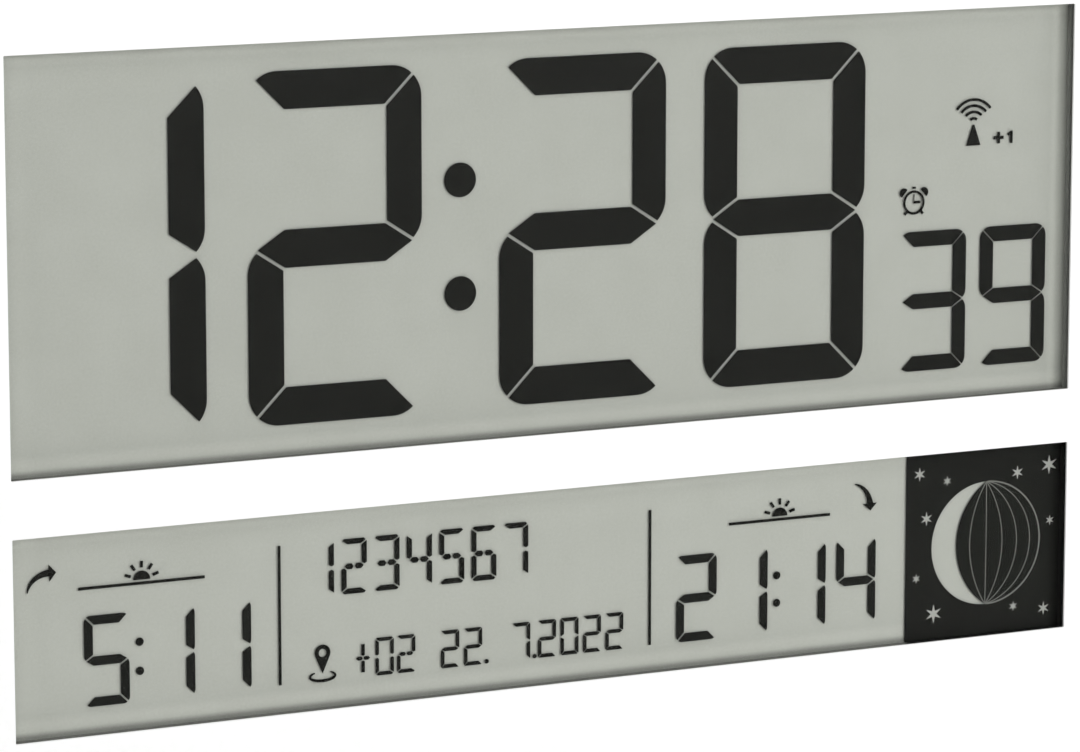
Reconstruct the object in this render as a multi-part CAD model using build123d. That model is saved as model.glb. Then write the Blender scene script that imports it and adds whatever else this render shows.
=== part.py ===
from build123d import *
import math
import os

# Wall clock with two liquid-crystal displays, in millimetres.
# X runs to the right as the face is read, Z runs up, and the wall is the plane Y = 0 behind the clock.

# Case
case_width = 360.0
case_height = 240.0
case_depth = 30.0
case_corner = 10.0
case_wall = 2.4
frame_depth = 20.0
frame_edge_round = 2.5
front_wall = 2.0
cover_wall = 2.2
cover_lip = 3.0
cover_fit = 0.2
cover_edge_round = 3.0

# Face with its two windows
window_side_margin = 30.0
window_top_margin = 28.0
window_bottom_margin = 43.0
window_gap = 14.5
upper_window_share = 0.67
window_corner = 0.3
face_rim = 6.0
face_thickness = 0.6
face_corner = 5.0
face_fit = 0.1

# Display stack behind each window
lens_thickness = 1.5
lens_lap = 2.5
lens_fit = 0.15
gasket_depth = 1.6
gasket_set_back = 0.2
glass_thickness = 1.1
glass_margin = 4.0
glass_fit = 0.3
cell_gap = 0.5
seal_side_set_back = 1.6
seal_edge_set_back = 0.9
seal_width = 1.2
contact_ledge = 3.0
strip_width = 2.2
strip_height = 3.2
strip_end_gap = 6.0
rib_thickness = 1.6
rib_length = 30.0
retainer_grip = 2.5
retainer_reach = 8.0
retainer_thickness = 3.0
retainer_side_gap = 35.0
retainer_end = 15.0
retainer_boss_radius = 3.5
retainer_boss_count = 3

# Widths and heights of the two windows
window_width = case_width - 2 * window_side_margin
windows_height = case_height - window_top_margin - window_bottom_margin - window_gap
upper_window_height = windows_height * upper_window_share
lower_window_height = windows_height - upper_window_height

# Switched-on segments, as shares of their window and drawn from its lower right corner
segment_thickness = 0.1
middle_tip_share = 0.28
middle_shoulder_share = 1.05
loop_lap_share = 0.2
time_digit_width = 0.1578 * window_width
time_digit_height = 0.8564 * upper_window_height
time_stroke = 0.2017 * time_digit_width
time_segment_gap = 0.085 * time_stroke
time_corner = 0.85 * time_stroke
time_digit_pitch = 0.1953 * window_width
time_colon_room = 0.034 * window_width
time_right = 0.2027 * window_width
time_base = 0.0707 * upper_window_height
time_dot_radius = 0.461 * time_stroke
time_dot_right = 0.592 * window_width
time_dot_low = 0.3594 * upper_window_height
time_dot_high = 0.6386 * upper_window_height
second_digit_width = 0.0677 * window_width
second_digit_height = 0.3608 * upper_window_height
second_stroke = 0.2 * second_digit_width
second_segment_gap = 0.08 * second_stroke
second_corner = 0.8 * second_stroke
second_digit_pitch = 0.082 * window_width
second_right = 0.0167 * window_width
second_base = 0.071 * upper_window_height
sun_digit_width = 0.0397 * window_width
sun_digit_height = 0.451 * lower_window_height
sun_stroke = 0.196 * sun_digit_width
sun_segment_gap = 0.19 * sun_stroke
sun_corner = 0.75 * sun_stroke
sun_digit_pitch = 0.0505 * window_width
sun_colon_room = 0.0077 * window_width
sun_set_right = 0.187 * window_width
sun_rise_right = 0.7853 * window_width
sun_base = 0.1216 * lower_window_height
sun_dot_radius = 0.455 * sun_stroke
sun_dot_set_back = 0.0092 * window_width
sun_dot_low = 0.2746 * lower_window_height
sun_dot_high = 0.4197 * lower_window_height
date_digit_width = 0.0172 * window_width
date_digit_height = 0.1922 * lower_window_height
date_stroke = 0.19 * date_digit_width
date_segment_gap = 0.2 * date_stroke
date_corner = 0.6 * date_stroke
date_digit_pitch = 0.0216 * window_width
date_base = 0.1216 * lower_window_height
date_year_right = 0.4374 * window_width
date_month_right = 0.5268 * window_width
date_day_right = 0.5723 * window_width
date_point_radius = 0.6 * date_stroke
rule_width = 0.0025 * window_width
rule_height = 0.7022 * lower_window_height
rule_base = 0.1255 * lower_window_height
rule_left_right = 0.7594 * window_width
rule_right_right = 0.4117 * window_width
moon_field_width = 0.1565 * window_width
moon_radius = 0.3295 * lower_window_height
moon_right = 0.0739 * window_width
moon_base = 0.4786 * lower_window_height
moon_dark_reach = 0.545 * moon_radius

# Circuit board behind the bridge between the windows
board_width = window_width
board_height = 40.0
board_thickness = 1.6
board_boss_radius = 1.9
board_boss_count = 6
board_boss_pitch = board_width / board_boss_count
small_screw_radius = 1.0
small_screw_length = 6.0
small_head_radius = 1.8
small_head_height = 1.3
screw_fit = 0.05
chip_radius = 7.0
chip_height = 1.4
chip_edge_round = 0.9
chip_left = -0.35 * board_width
chip_pitch = 0.15 * board_width
chip_count = 2
parts_row_rise = 9.0
crystal_radius = 1.5
crystal_length = 8.0
crystal_x = -0.083 * board_width
capacitor_radius = 2.5
capacitor_height = 7.0
capacitor_x = 0.06 * board_width
capacitor_pitch = 9.0
capacitor_count = 3

# Time-signal receiver above the upper display
antenna_gap = 1.1
antenna_stand = 8.0
rod_radius = 4.0
rod_length = 100.0
rod_fit = 0.1
coil_thickness = 1.3
coil_length = 36.0
clip_spacing = 76.0
clip_width = 6.0
clip_wall = 1.6
receiver_x = 0.228 * case_width
receiver_width = 28.0
receiver_height = 11.0
receiver_thickness = 1.2
receiver_post_radius = 2.2
receiver_post_spacing = 18.0
lead_radius = 0.6
lead_bend = 2.0
lead_rise = 1.4
lead_off_share = 0.5
lead_up_share = 0.9

# Case screws and their posts
post_radius = 4.0
post_inset = 12.0
post_boss_radius = 4.9
post_boss_floor = 2.0
case_screw_radius = 1.5
case_screw_length = 12.0
case_head_radius = 2.8
case_head_height = 2.2
case_head_room = 0.5
screw_cross_width = 0.8
screw_cross_depth = 0.9
screw_cross_share = 0.7

# Hanging keyholes
keyhole_spacing = 200.0
keyhole_drop = 42.0
keyhole_entry_radius = 4.5
keyhole_slot_radius = 2.2
keyhole_rise = 9.0
keyhole_head_room = 4.6
keyhole_side_room = 1.6
keyhole_wall = 1.6

# Battery bay and its door
battery_z = 30.0
battery_radius = 7.25
battery_length = 49.2
battery_tip_radius = 2.7
battery_tip_length = 1.3
battery_pitch = 15.0
battery_room = 0.5
battery_door_gap = 0.6
bay_length = 56.5
bay_wall = 1.5
contact_thickness = 0.4
contact_width = 9.0
contact_share = 0.8
contact_tail_width = 3.0
contact_tail_reach = 2.0
contact_slot_fit = 0.2
door_thickness = 2.0
door_sink = 0.3
door_lap = 3.0
door_fit = 0.3
door_rest_gap = 0.1
door_corner = 1.5
door_ledge = 2.0
door_flange = 3.0
lug_width = 6.0
lug_spacing = 36.0
lug_reach = 3.6
lug_root = 2.0
lug_thickness = 1.1
lug_drop = 0.2
lug_bite = 0.4
lug_swing_room = 0.4
tongue_width = 16.0
tongue_length = 10.0
tongue_slit = 0.8
tongue_ridge_height = 0.25
tongue_ridge_width = 0.7
tongue_ridge_length = 10.6
tongue_ridge_pitch = 2.2
tongue_ridge_count = 3
nail_notch_radius = 8.0
nail_notch_depth = 1.3
nail_notch_rise = 1.5
supply_lead_out = 7.0
supply_lead_down = 9.0
supply_lead_stand = 2.5 * lead_bend

# Fold-out table stand
stand_z = -16.0
leg_width = 46.0
leg_base_gap = 8.0
leg_thickness = 4.0
leg_sink = 0.6
leg_fit = 0.4
leg_panel_depth = 1.0
leg_panel_border = 6.0
leg_panel_corner = 3.0
stand_pin_radius = 1.0
stand_pin_running = 0.06
stand_pin_seat = 0.02
stand_ear = 3.0
stand_floor_gap = 0.5
stand_floor = 1.8
finger_notch_radius = 9.0

# Keys, slide switch and sounder on the back
panel_side = 29.0
panel_share = 0.283
panel_drop = 1.25
panel_height = 34.0
panel_end = 6.0
panel_sink = 1.8
panel_corner = 3.0
key_names = ("mode_key", "set_key", "up_key", "down_key", "alarm_key", "wave_key")
key_rise = 8.0
key_gap = 4.0
key_height = 7.0
key_corner = 2.0
key_fit = 0.25
key_stand = 1.3
key_edge_round = 0.4
key_flange = 1.2
key_flange_thickness = 1.2
key_flange_gap = 0.1
key_stem_radius = 2.0
key_travel = 0.6
key_stem_clear = 0.1
switch_size = 6.0
switch_height = 3.5
plunger_radius = 1.7
plunger_height = 0.8
slider_drop = 9.0
slider_width = 6.0
slider_height = 4.0
slider_travel = 4.0
slider_fit = 0.25
slider_grip_pitch = 1.5
slider_grip_width = 0.5
slider_grip_depth = 0.4
slider_grip_count = 3
slide_body_length = 13.0
slide_body_width = 7.0
slide_body_height = 4.0
slide_clear = 0.2
buzzer_share = 0.3
buzzer_z = -34.0
buzzer_radius = 12.0
buzzer_height = 4.0
sound_hole_radius = 1.0
sound_ring_radius = 5.0
sound_ring_count = 6

# Depths, counted from the wall towards the front
front_y = -case_depth
face_back = front_y + face_thickness
lens_back = face_back + lens_thickness
wall_back = face_back + front_wall
glass_front = lens_back + gasket_depth
cell_front = glass_front + glass_thickness
reflector_front = cell_front + cell_gap
reflector_back = reflector_front + glass_thickness
board_front = cell_front + strip_height
board_back = board_front + board_thickness
frame_back = front_y + frame_depth
cover_front = frame_back - cover_lip
cover_inner = -cover_wall

# Heights of the window edges
upper_top = case_height / 2 - window_top_margin
upper_bottom = upper_top - upper_window_height
lower_top = upper_bottom - window_gap
lower_bottom = lower_top - lower_window_height
bridge_z = (upper_bottom + lower_top) / 2
window_right = window_width / 2


def prism(outline, y_low, y_high):
    # Outline drawn in X and Z, carried from one depth to another
    return extrude(Plane.XZ.offset(-y_high) * outline, amount=y_high - y_low)


def slab(x_low, x_high, y_low, y_high, z_low, z_high):
    middle = Pos((x_low + x_high) / 2, (y_low + y_high) / 2, (z_low + z_high) / 2)
    return middle * Box(x_high - x_low, y_high - y_low, z_high - z_low)


def rounded(width, height, corner, x=0.0, z=0.0):
    return Pos(x, z) * RectangleRounded(width, height, corner)


def drum(x, z, radius, y_low, y_high):
    return prism(Pos(x, z) * Circle(radius), y_low, y_high)


def bar(x_low, x_high, y, z, radius):
    # Round bar along X
    return extrude(Plane.YZ.offset(x_low) * (Pos(y, z) * Circle(radius)), amount=x_high - x_low)


def row(count, pitch):
    return [(i - (count - 1) / 2) * pitch for i in range(count)]


def save(node, solids):
    group = solids if isinstance(solids, list) else [solids]
    flat = [solid for shape in group for solid in shape.solids()]
    export_step(flat[0] if len(flat) == 1 else Compound(children=flat), f"parts/{node}.step")


def screw(x, z, y_seat, radius, length, head_radius, head_height):
    # Pan-head screw driven towards the front, its head standing on y_seat
    y_top = y_seat + head_height
    body = drum(x, z, radius, y_seat - length, y_seat) + drum(x, z, head_radius, y_seat, y_top)
    arm = screw_cross_share * head_radius
    half = screw_cross_width / 2
    body -= slab(x - arm, x + arm, y_top - screw_cross_depth, y_top, z - half, z + half)
    body -= slab(x - half, x + half, y_top - screw_cross_depth, y_top, z - arm, z + arm)
    return body


def small_screw(x, z, y_seat):
    return screw(x, z, y_seat, small_screw_radius, small_screw_length, small_head_radius, small_head_height)


def pilot(x, z, y_open, radius, depth):
    return drum(x, z, radius + screw_fit, y_open - depth, y_open)


# Seven-segment digits
segments_of = {
    "0": "ABCDEF", "1": "BC", "2": "ABGED", "3": "ABGCD", "4": "FGBC",
    "5": "AFGCD", "6": "AFGECD", "7": "ABC", "8": "ABCDEFG", "9": "ABCDFG",
}


def segment_outlines(width, height, stroke, gap, corner):
    # One outline for each segment of a digit centred on the origin: two round-cornered loops,
    # one over the other, cut by slanting gaps
    a = width / 2
    b = height / 2
    mitre = gap / math.sqrt(2)
    tip = a - middle_tip_share * stroke
    shoulder = a - middle_shoulder_share * stroke
    slope = stroke / 2 / (tip - shoulder)
    gap_rise = gap * math.hypot(1, slope)
    loop_lap = loop_lap_share * corner
    upper_loop = Pos(0, (b - loop_lap) / 2) * RectangleRounded(width, b + loop_lap, corner)

    def outline(*points):
        return make_face(Polyline(*points, close=True))

    top = outline(
        (mitre - a, b), (a - mitre, b),
        (a - stroke - mitre, b - stroke), (stroke + mitre - a, b - stroke),
    )
    right = outline(
        (a, b - mitre), (a, gap_rise + (tip - a) * slope),
        (a - stroke, gap_rise + (tip - a + stroke) * slope), (a - stroke, b - stroke - mitre),
    )
    middle = outline(
        (tip, 0), (shoulder, stroke / 2), (-shoulder, stroke / 2),
        (-tip, 0), (-shoulder, -stroke / 2), (shoulder, -stroke / 2),
    )
    upper_right = right & upper_loop
    upper = top & upper_loop
    upper_left = mirror(upper_right, about=Plane.YZ)
    return {
        "A": upper,
        "B": upper_right,
        "C": mirror(upper_right, about=Plane.XZ),
        "D": mirror(upper, about=Plane.XZ),
        "E": mirror(upper_left, about=Plane.XZ),
        "F": upper_left,
        "G": middle,
    }


def lit(outline, x, z):
    return prism(Pos(x, z) * outline, cell_front, cell_front + segment_thickness)


def digit(number, outlines, x_right, z_base, width, height):
    return [lit(outlines[name], x_right - width / 2, z_base + height / 2) for name in segments_of[number]]


def dot(x, z, radius):
    return lit(Circle(radius), x, z)


os.makedirs("parts", exist_ok=True)

# Limits of the glass plates of each display, with the contact ledge on the side of the bridge
ledge_margin = seal_edge_set_back + seal_width + contact_ledge
glass_half = window_right + glass_margin
displays = {
    "time": (upper_bottom, upper_top, -1),
    "calendar": (lower_bottom, lower_top, 1),
}
bridge_boss_xs = row(board_boss_count, board_boss_pitch)
retainer_length = window_width - 2 * retainer_side_gap
retainer_boss_xs = row(retainer_boss_count, retainer_length / 2 - retainer_end)
post_x = case_width / 2 - post_inset
post_z = case_height / 2 - post_inset
posts = [(x, z) for x in (-post_x, post_x) for z in (-post_z, 0.0, post_z)]
clip_half = rod_radius + rod_fit + clip_wall
antenna_z = upper_top + glass_margin + retainer_reach + antenna_gap + clip_half
antenna_y = wall_back + antenna_stand
receiver_front = antenna_y
receiver_back = receiver_front + receiver_thickness
receiver_post_xs = [receiver_x + x for x in row(2, receiver_post_spacing)]

# Faceplate
face_width = case_width - 2 * face_rim
face_height = case_height - 2 * face_rim
faceplate = prism(rounded(face_width, face_height, face_corner), front_y, face_back)
for z_low, z_high, side in displays.values():
    opening = rounded(window_width, z_high - z_low, window_corner, 0, (z_low + z_high) / 2)
    faceplate -= prism(opening, front_y, face_back)
save("faceplate", faceplate)

# Front frame
outer = prism(rounded(case_width, case_height, case_corner), front_y, frame_back)
frame = fillet(outer.faces().sort_by(Axis.Y)[0].edges(), frame_edge_round)
inner_corner = case_corner - case_wall
cavity_width = case_width - 2 * case_wall
cavity_height = case_height - 2 * case_wall
frame -= prism(rounded(cavity_width, cavity_height, inner_corner), wall_back, frame_back)
rebate = rounded(face_width + 2 * face_fit, face_height + 2 * face_fit, face_corner + face_fit)
frame -= prism(rebate, front_y, face_back)
for z_low, z_high, side in displays.values():
    reach = lens_lap + lens_fit
    reach_x = window_right + reach
    frame -= slab(-reach_x, reach_x, face_back, wall_back, z_low - reach, z_high + reach)
    rib_x = glass_half + glass_fit
    rib_low = (z_low + z_high - rib_length) / 2
    for x in (-rib_x - rib_thickness, rib_x):
        frame += slab(x, x + rib_thickness, wall_back, cell_front, rib_low, rib_low + rib_length)
    boss_z = (z_low if side > 0 else z_high) - side * (glass_margin + retainer_reach / 2)
    for x in retainer_boss_xs:
        frame += drum(x, boss_z, retainer_boss_radius, wall_back, reflector_back)
        frame -= pilot(x, boss_z, reflector_back, small_screw_radius, small_screw_length - retainer_thickness)
for x in bridge_boss_xs:
    frame += drum(x, bridge_z, board_boss_radius, wall_back, board_front)
    frame -= pilot(x, bridge_z, board_front, small_screw_radius, small_screw_length - board_thickness)
for x, z in posts:
    frame += drum(x, z, post_radius, wall_back, frame_back)
    frame -= pilot(x, z, frame_back, case_screw_radius, case_screw_length - post_boss_floor)
for x in receiver_post_xs:
    frame += drum(x, antenna_z, receiver_post_radius, wall_back, receiver_front)
    frame -= pilot(x, antenna_z, receiver_front, small_screw_radius, small_screw_length - receiver_thickness)
save("front_frame", frame)

# Display stack: lens, gasket, glass, edge seal, reflector, contact strip, retainer
retainer_screws = []
for name, (z_low, z_high, side) in displays.items():
    height = z_high - z_low
    middle_z = (z_low + z_high) / 2
    lens_outline = Pos(0, middle_z) * Rectangle(window_width + 2 * lens_lap, height + 2 * lens_lap)
    save(f"{name}_lens", prism(lens_outline, face_back, lens_back))
    gasket = prism(lens_outline, lens_back, glass_front)
    gasket_opening = Rectangle(window_width + 2 * gasket_set_back, height + 2 * gasket_set_back)
    gasket -= prism(Pos(0, middle_z) * gasket_opening, lens_back, glass_front)
    save(f"{name}_gasket", gasket)
    low_margin = ledge_margin if side < 0 else glass_margin
    high_margin = ledge_margin if side > 0 else glass_margin
    glass_low = z_low - low_margin
    glass_high = z_high + high_margin
    save(f"{name}_glass", slab(-glass_half, glass_half, glass_front, cell_front, glass_low, glass_high))
    plate_low = glass_low + (contact_ledge if side < 0 else 0.0)
    plate_high = glass_high - (contact_ledge if side > 0 else 0.0)
    seal_half = window_right + seal_side_set_back
    seal_low = z_low - seal_edge_set_back
    seal_high = z_high + seal_edge_set_back
    seal = slab(-glass_half, glass_half, cell_front, reflector_front, plate_low, plate_high)
    seal -= slab(-seal_half, seal_half, cell_front, reflector_front, seal_low, seal_high)
    save(f"{name}_seal", seal)
    reflector = slab(-glass_half, glass_half, reflector_front, reflector_back, plate_low, plate_high)
    save(f"{name}_reflector", reflector)
    ledge_z = (glass_low if side < 0 else glass_high) - side * contact_ledge / 2
    strip_half = window_right - strip_end_gap
    strip_low = ledge_z - strip_width / 2
    strip = slab(-strip_half, strip_half, cell_front, board_front, strip_low, strip_low + strip_width)
    save(f"{name}_contact_strip", strip)
    edge_z = glass_low if side > 0 else glass_high
    bar_low, bar_high = sorted((edge_z + side * retainer_grip, edge_z - side * retainer_reach))
    retainer_back = reflector_back + retainer_thickness
    bar_half = retainer_length / 2
    retainer = slab(-bar_half, bar_half, reflector_back, retainer_back, bar_low, bar_high)
    hole_z = edge_z - side * retainer_reach / 2
    for x in retainer_boss_xs:
        retainer -= drum(x, hole_z, small_screw_radius + screw_fit, reflector_back, retainer_back)
        retainer_screws.append(small_screw(x, hole_z, retainer_back))
    save(f"{name}_retainer", retainer)
save("retainer_screws", retainer_screws)

# Time digits, seconds and colon in the upper display
time_size = (time_digit_width, time_digit_height)
time_outlines = segment_outlines(*time_size, time_stroke, time_segment_gap, time_corner)
minute_right = window_right - time_right
hour_right = minute_right - 2 * time_digit_pitch - time_colon_room
time_rights = (hour_right - time_digit_pitch, hour_right, minute_right - time_digit_pitch, minute_right)
time_digits = []
for number, x_right in zip("1228", time_rights):
    time_digits += digit(number, time_outlines, x_right, upper_bottom + time_base, *time_size)
for rise in (time_dot_low, time_dot_high):
    time_digits.append(dot(window_right - time_dot_right, upper_bottom + rise, time_dot_radius))
save("time_digits", time_digits)

second_size = (second_digit_width, second_digit_height)
second_outlines = segment_outlines(*second_size, second_stroke, second_segment_gap, second_corner)
second_digits = []
for steps, number in enumerate("93"):
    x_right = window_right - second_right - steps * second_digit_pitch
    second_digits += digit(number, second_outlines, x_right, upper_bottom + second_base, *second_size)
save("second_digits", second_digits)

# Sun times, date, rules and moon field in the lower display
sun_size = (sun_digit_width, sun_digit_height)
sun_outlines = segment_outlines(*sun_size, sun_stroke, sun_segment_gap, sun_corner)
sun_digits = []
for edge, numbers in ((sun_rise_right, "511"), (sun_set_right, "2114")):
    minute_edge = window_right - edge
    hour_edge = minute_edge - 2 * sun_digit_pitch - sun_colon_room
    edges = (hour_edge - sun_digit_pitch, hour_edge, minute_edge - sun_digit_pitch, minute_edge)
    for number, x_right in zip(numbers, edges[-len(numbers):]):
        sun_digits += digit(number, sun_outlines, x_right, lower_bottom + sun_base, *sun_size)
    for rise in (sun_dot_low, sun_dot_high):
        sun_digits.append(dot(hour_edge + sun_dot_set_back, lower_bottom + rise, sun_dot_radius))
save("sun_digits", sun_digits)

date_size = (date_digit_width, date_digit_height)
date_outlines = segment_outlines(*date_size, date_stroke, date_segment_gap, date_corner)
date_digits = []
date_groups = (
    (date_day_right, "22", True), (date_month_right, "7", True), (date_year_right, "2022", False),
)
for edge, numbers, pointed in date_groups:
    for steps, number in enumerate(reversed(numbers)):
        x_right = window_right - edge - steps * date_digit_pitch
        date_digits += digit(number, date_outlines, x_right, lower_bottom + date_base, *date_size)
    if pointed:
        point_x = window_right - edge + (date_digit_pitch - date_digit_width) / 2 + date_point_radius
        date_digits.append(dot(point_x, lower_bottom + date_base + date_point_radius, date_point_radius))
save("date_digits", date_digits)

rules = []
for edge in (rule_left_right, rule_right_right):
    rule_z = lower_bottom + rule_base + rule_height / 2
    rules.append(lit(Rectangle(rule_width, rule_height), window_right - edge, rule_z))
save("display_rules", rules)

moon_x = window_right - moon_right
moon_z = lower_bottom + moon_base
field_right = window_right + seal_side_set_back
field_low = lower_bottom - seal_edge_set_back
field_height = lower_window_height + 2 * seal_edge_set_back
field_left = window_right - moon_field_width
field = Rectangle(field_right - field_left, field_height)
field = Pos((field_left + field_right) / 2, field_low + field_height / 2) * field
moon_rim = ThreePointArc((0, moon_radius), (-moon_radius, 0), (0, -moon_radius))
dark_edge = ThreePointArc((0, -moon_radius), (-moon_dark_reach, 0), (0, moon_radius))
crescent = make_face([moon_rim, dark_edge])
save("moon_field", lit(field - Pos(moon_x, moon_z) * crescent, 0, 0))

# Main board with its parts
board_low = bridge_z - board_height / 2
board_high = bridge_z + board_height / 2
board = slab(-board_width / 2, board_width / 2, board_front, board_back, board_low, board_high)
board_screws = []
for x in bridge_boss_xs:
    board -= drum(x, bridge_z, small_screw_radius + screw_fit, board_front, board_back)
    board_screws.append(small_screw(x, bridge_z, board_back))
save("main_board", board)

parts_row_z = bridge_z + parts_row_rise
chips = []
for step in range(chip_count):
    chip_x = chip_left + step * chip_pitch
    chip = drum(chip_x, parts_row_z, chip_radius, board_back, board_back + chip_height)
    chips.append(fillet(chip.faces().sort_by(Axis.Y)[-1].edges(), chip_edge_round))
save("driver_chips", chips)
crystal_end = crystal_x + crystal_length
crystal_y = board_back + crystal_radius
save("quartz_crystal", bar(crystal_x, crystal_end, crystal_y, parts_row_z, crystal_radius))
capacitors = []
for step in range(capacitor_count):
    x = capacitor_x + step * capacitor_pitch
    capacitors.append(drum(x, parts_row_z, capacitor_radius, board_back, board_back + capacitor_height))
save("capacitors", capacitors)

# Receiver with its ferrite antenna
save("ferrite_rod", bar(-rod_length / 2, rod_length / 2, antenna_y, antenna_z, rod_radius))
coil_inner = rod_radius + rod_fit
coil_half = coil_length / 2
coil = bar(-coil_half, coil_half, antenna_y, antenna_z, coil_inner + coil_thickness)
coil -= bar(-coil_half, coil_half, antenna_y, antenna_z, coil_inner)
save("antenna_coil", coil)
clips = []
for x in row(2, clip_spacing):
    clip = slab(
        x - clip_width / 2, x + clip_width / 2, wall_back, antenna_y + clip_half,
        antenna_z - clip_half, antenna_z + clip_half,
    )
    clips.append(clip - bar(x - clip_width / 2, x + clip_width / 2, antenna_y, antenna_z, coil_inner))
save("antenna_clips", clips)

receiver_low = antenna_z - receiver_height / 2
receiver_left = receiver_x - receiver_width / 2
receiver = slab(
    receiver_left, receiver_left + receiver_width, receiver_front, receiver_back,
    receiver_low, receiver_low + receiver_height,
)
for x in receiver_post_xs:
    receiver -= drum(x, antenna_z, small_screw_radius + screw_fit, receiver_front, receiver_back)
    board_screws.append(small_screw(x, antenna_z, receiver_back))
save("receiver_board", receiver)
save("board_screws", board_screws)


def lead(points):
    # Insulated wire along straight runs with rounded corners
    path = FilletPolyline(*points, radius=lead_bend)
    start = Plane(origin=path @ 0, z_dir=path % 0)
    return sweep(start * Circle(lead_radius), path=path)


coil_skin = antenna_y + coil_inner + coil_thickness / 2
lead_over = antenna_y + clip_half + lead_rise + lead_radius
rod_gap = (clip_spacing - clip_width) / 2 - coil_half
land_x = receiver_left + 2 * lead_radius
save("antenna_lead", lead([
    (coil_half, coil_skin, antenna_z),
    (coil_half + lead_off_share * rod_gap, coil_skin, antenna_z),
    (coil_half + lead_up_share * rod_gap, lead_over, antenna_z),
    (land_x, lead_over, antenna_z),
    (land_x, receiver_back, antenna_z),
]))

# Batteries lie along X, the lower one turned round
door_inner = -door_sink - door_thickness
battery_y = door_inner - battery_door_gap - battery_radius
battery_zs = (battery_z - battery_pitch / 2, battery_z + battery_pitch / 2)
bay_half = bay_length / 2
bay_half_height = battery_pitch / 2 + battery_radius + battery_room
bay_floor = battery_y - battery_radius - battery_room
batteries = []
plus_face = bay_half - contact_thickness
for z, turn in zip(battery_zs, (-1, 1)):
    tip = turn * plus_face
    shoulder = turn * (plus_face - battery_tip_length)
    end = turn * (plus_face - battery_tip_length - battery_length)
    can = bar(min(shoulder, end), max(shoulder, end), battery_y, z, battery_radius)
    can += bar(min(tip, shoulder), max(tip, shoulder), battery_y, z, battery_tip_radius)
    batteries.append(can)
save("battery_cells", batteries)

# Sheet contacts: flat under the plus tips, bowed under the flat minus ends
minus_reach = bay_length - 2 * contact_thickness - battery_tip_length - battery_length
contact_low = battery_y - contact_share * battery_radius
contact_high = battery_y + contact_share * battery_radius


def contact_plate(turn, z_low, z_high):
    wall_x = turn * bay_half
    face_x = turn * plus_face
    return slab(min(wall_x, face_x), max(wall_x, face_x), contact_low, contact_high, z_low, z_high)


def contact_bow(turn, z):
    # Sprung leaf that arches from the plate to the flat end of a battery
    foot = turn * plus_face
    crown = turn * (plus_face - minus_reach)
    inner_crown = crown + turn * contact_thickness
    outer_arc = ThreePointArc((foot, contact_low), (crown, battery_y), (foot, contact_high))
    inner_low = contact_low + 2 * contact_thickness
    inner_high = contact_high - 2 * contact_thickness
    inner_arc = ThreePointArc((foot, inner_high), (inner_crown, battery_y), (foot, inner_low))
    ends = [Line((foot, contact_high), (foot, inner_high)), Line((foot, inner_low), (foot, contact_low))]
    leaf = make_face([outer_arc, ends[0], inner_arc, ends[1]])
    return extrude(Plane.XY.offset(z - contact_width / 2) * leaf, amount=contact_width)


def contact_tail(z):
    # Solder tail that leaves the bay through its end wall
    low = contact_low
    end_x = -bay_half - bay_wall - contact_tail_reach
    half = contact_tail_width / 2
    return slab(end_x, -plus_face, low, low + contact_thickness, z - half, z + half)


half_contact = contact_width / 2
low_z, high_z = battery_zs
plus_plate = contact_plate(-1, low_z - half_contact, low_z + half_contact)
save("battery_plus_contact", plus_plate + contact_tail(low_z))
minus_plate = contact_plate(-1, high_z - half_contact, high_z + half_contact)
save("battery_minus_contact", minus_plate + contact_bow(-1, high_z) + contact_tail(high_z))
save("battery_link", contact_plate(1, low_z - half_contact, high_z + half_contact) + contact_bow(1, low_z))

tail_end = -bay_half - bay_wall - contact_tail_reach
tail_y = contact_low + contact_thickness / 2
board_entry = board_high - 2 * lead_bend
for node, z, lane in (("battery_plus_lead", low_z, 1.0), ("battery_minus_lead", high_z, 2.0)):
    lane_x = tail_end - supply_lead_out * lane
    lane_y = board_back + supply_lead_stand
    save(node, lead([
        (tail_end, tail_y, z),
        (lane_x, tail_y, z),
        (lane_x, lane_y, z - supply_lead_down),
        (lane_x, lane_y, board_entry),
        (lane_x, board_back, board_entry),
    ]))

# Battery door: a plate whose lower edge is a round nose on the hinge line, with two lugs
# under the back wall
door_half = bay_half + door_lap
door_low = battery_z - bay_half_height - door_lap
door_high = battery_z + bay_half_height + door_lap
door_nose = door_thickness / 2
door_axis_y = -door_sink - door_nose
door_axis_z = door_low + door_nose
door = slab(-door_half, door_half, door_inner, -door_sink, door_axis_z, door_high)
upper_corners = door.edges().filter_by(Axis.Y).group_by(Axis.Z)[-1]
door = fillet(upper_corners, door_corner)
door += bar(-door_half, door_half, door_axis_y, door_axis_z, door_nose)
lug_xs = row(2, lug_spacing)
lug_inner = door_inner - lug_drop - lug_thickness
for x in lug_xs:
    left = x - lug_width / 2
    right = x + lug_width / 2
    root_high = door_axis_z + lug_root
    door += slab(left, right, lug_inner, door_inner + lug_bite, door_axis_z, root_high)
    door += slab(left, right, lug_inner, door_inner - lug_drop, door_axis_z - lug_reach, root_high)
tongue_low = door_high - tongue_length
for x in (-tongue_width / 2, tongue_width / 2):
    door -= slab(x - tongue_slit / 2, x + tongue_slit / 2, door_inner, -door_sink, tongue_low, door_high)
for step in range(tongue_ridge_count):
    ridge_z = tongue_low + (step + 1) * tongue_ridge_pitch
    ridge_half = tongue_ridge_length / 2
    ridge_top = -door_sink + tongue_ridge_height
    half = tongue_ridge_width / 2
    door += slab(-ridge_half, ridge_half, -door_sink, ridge_top, ridge_z - half, ridge_z + half)
save("battery_door", door)

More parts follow.
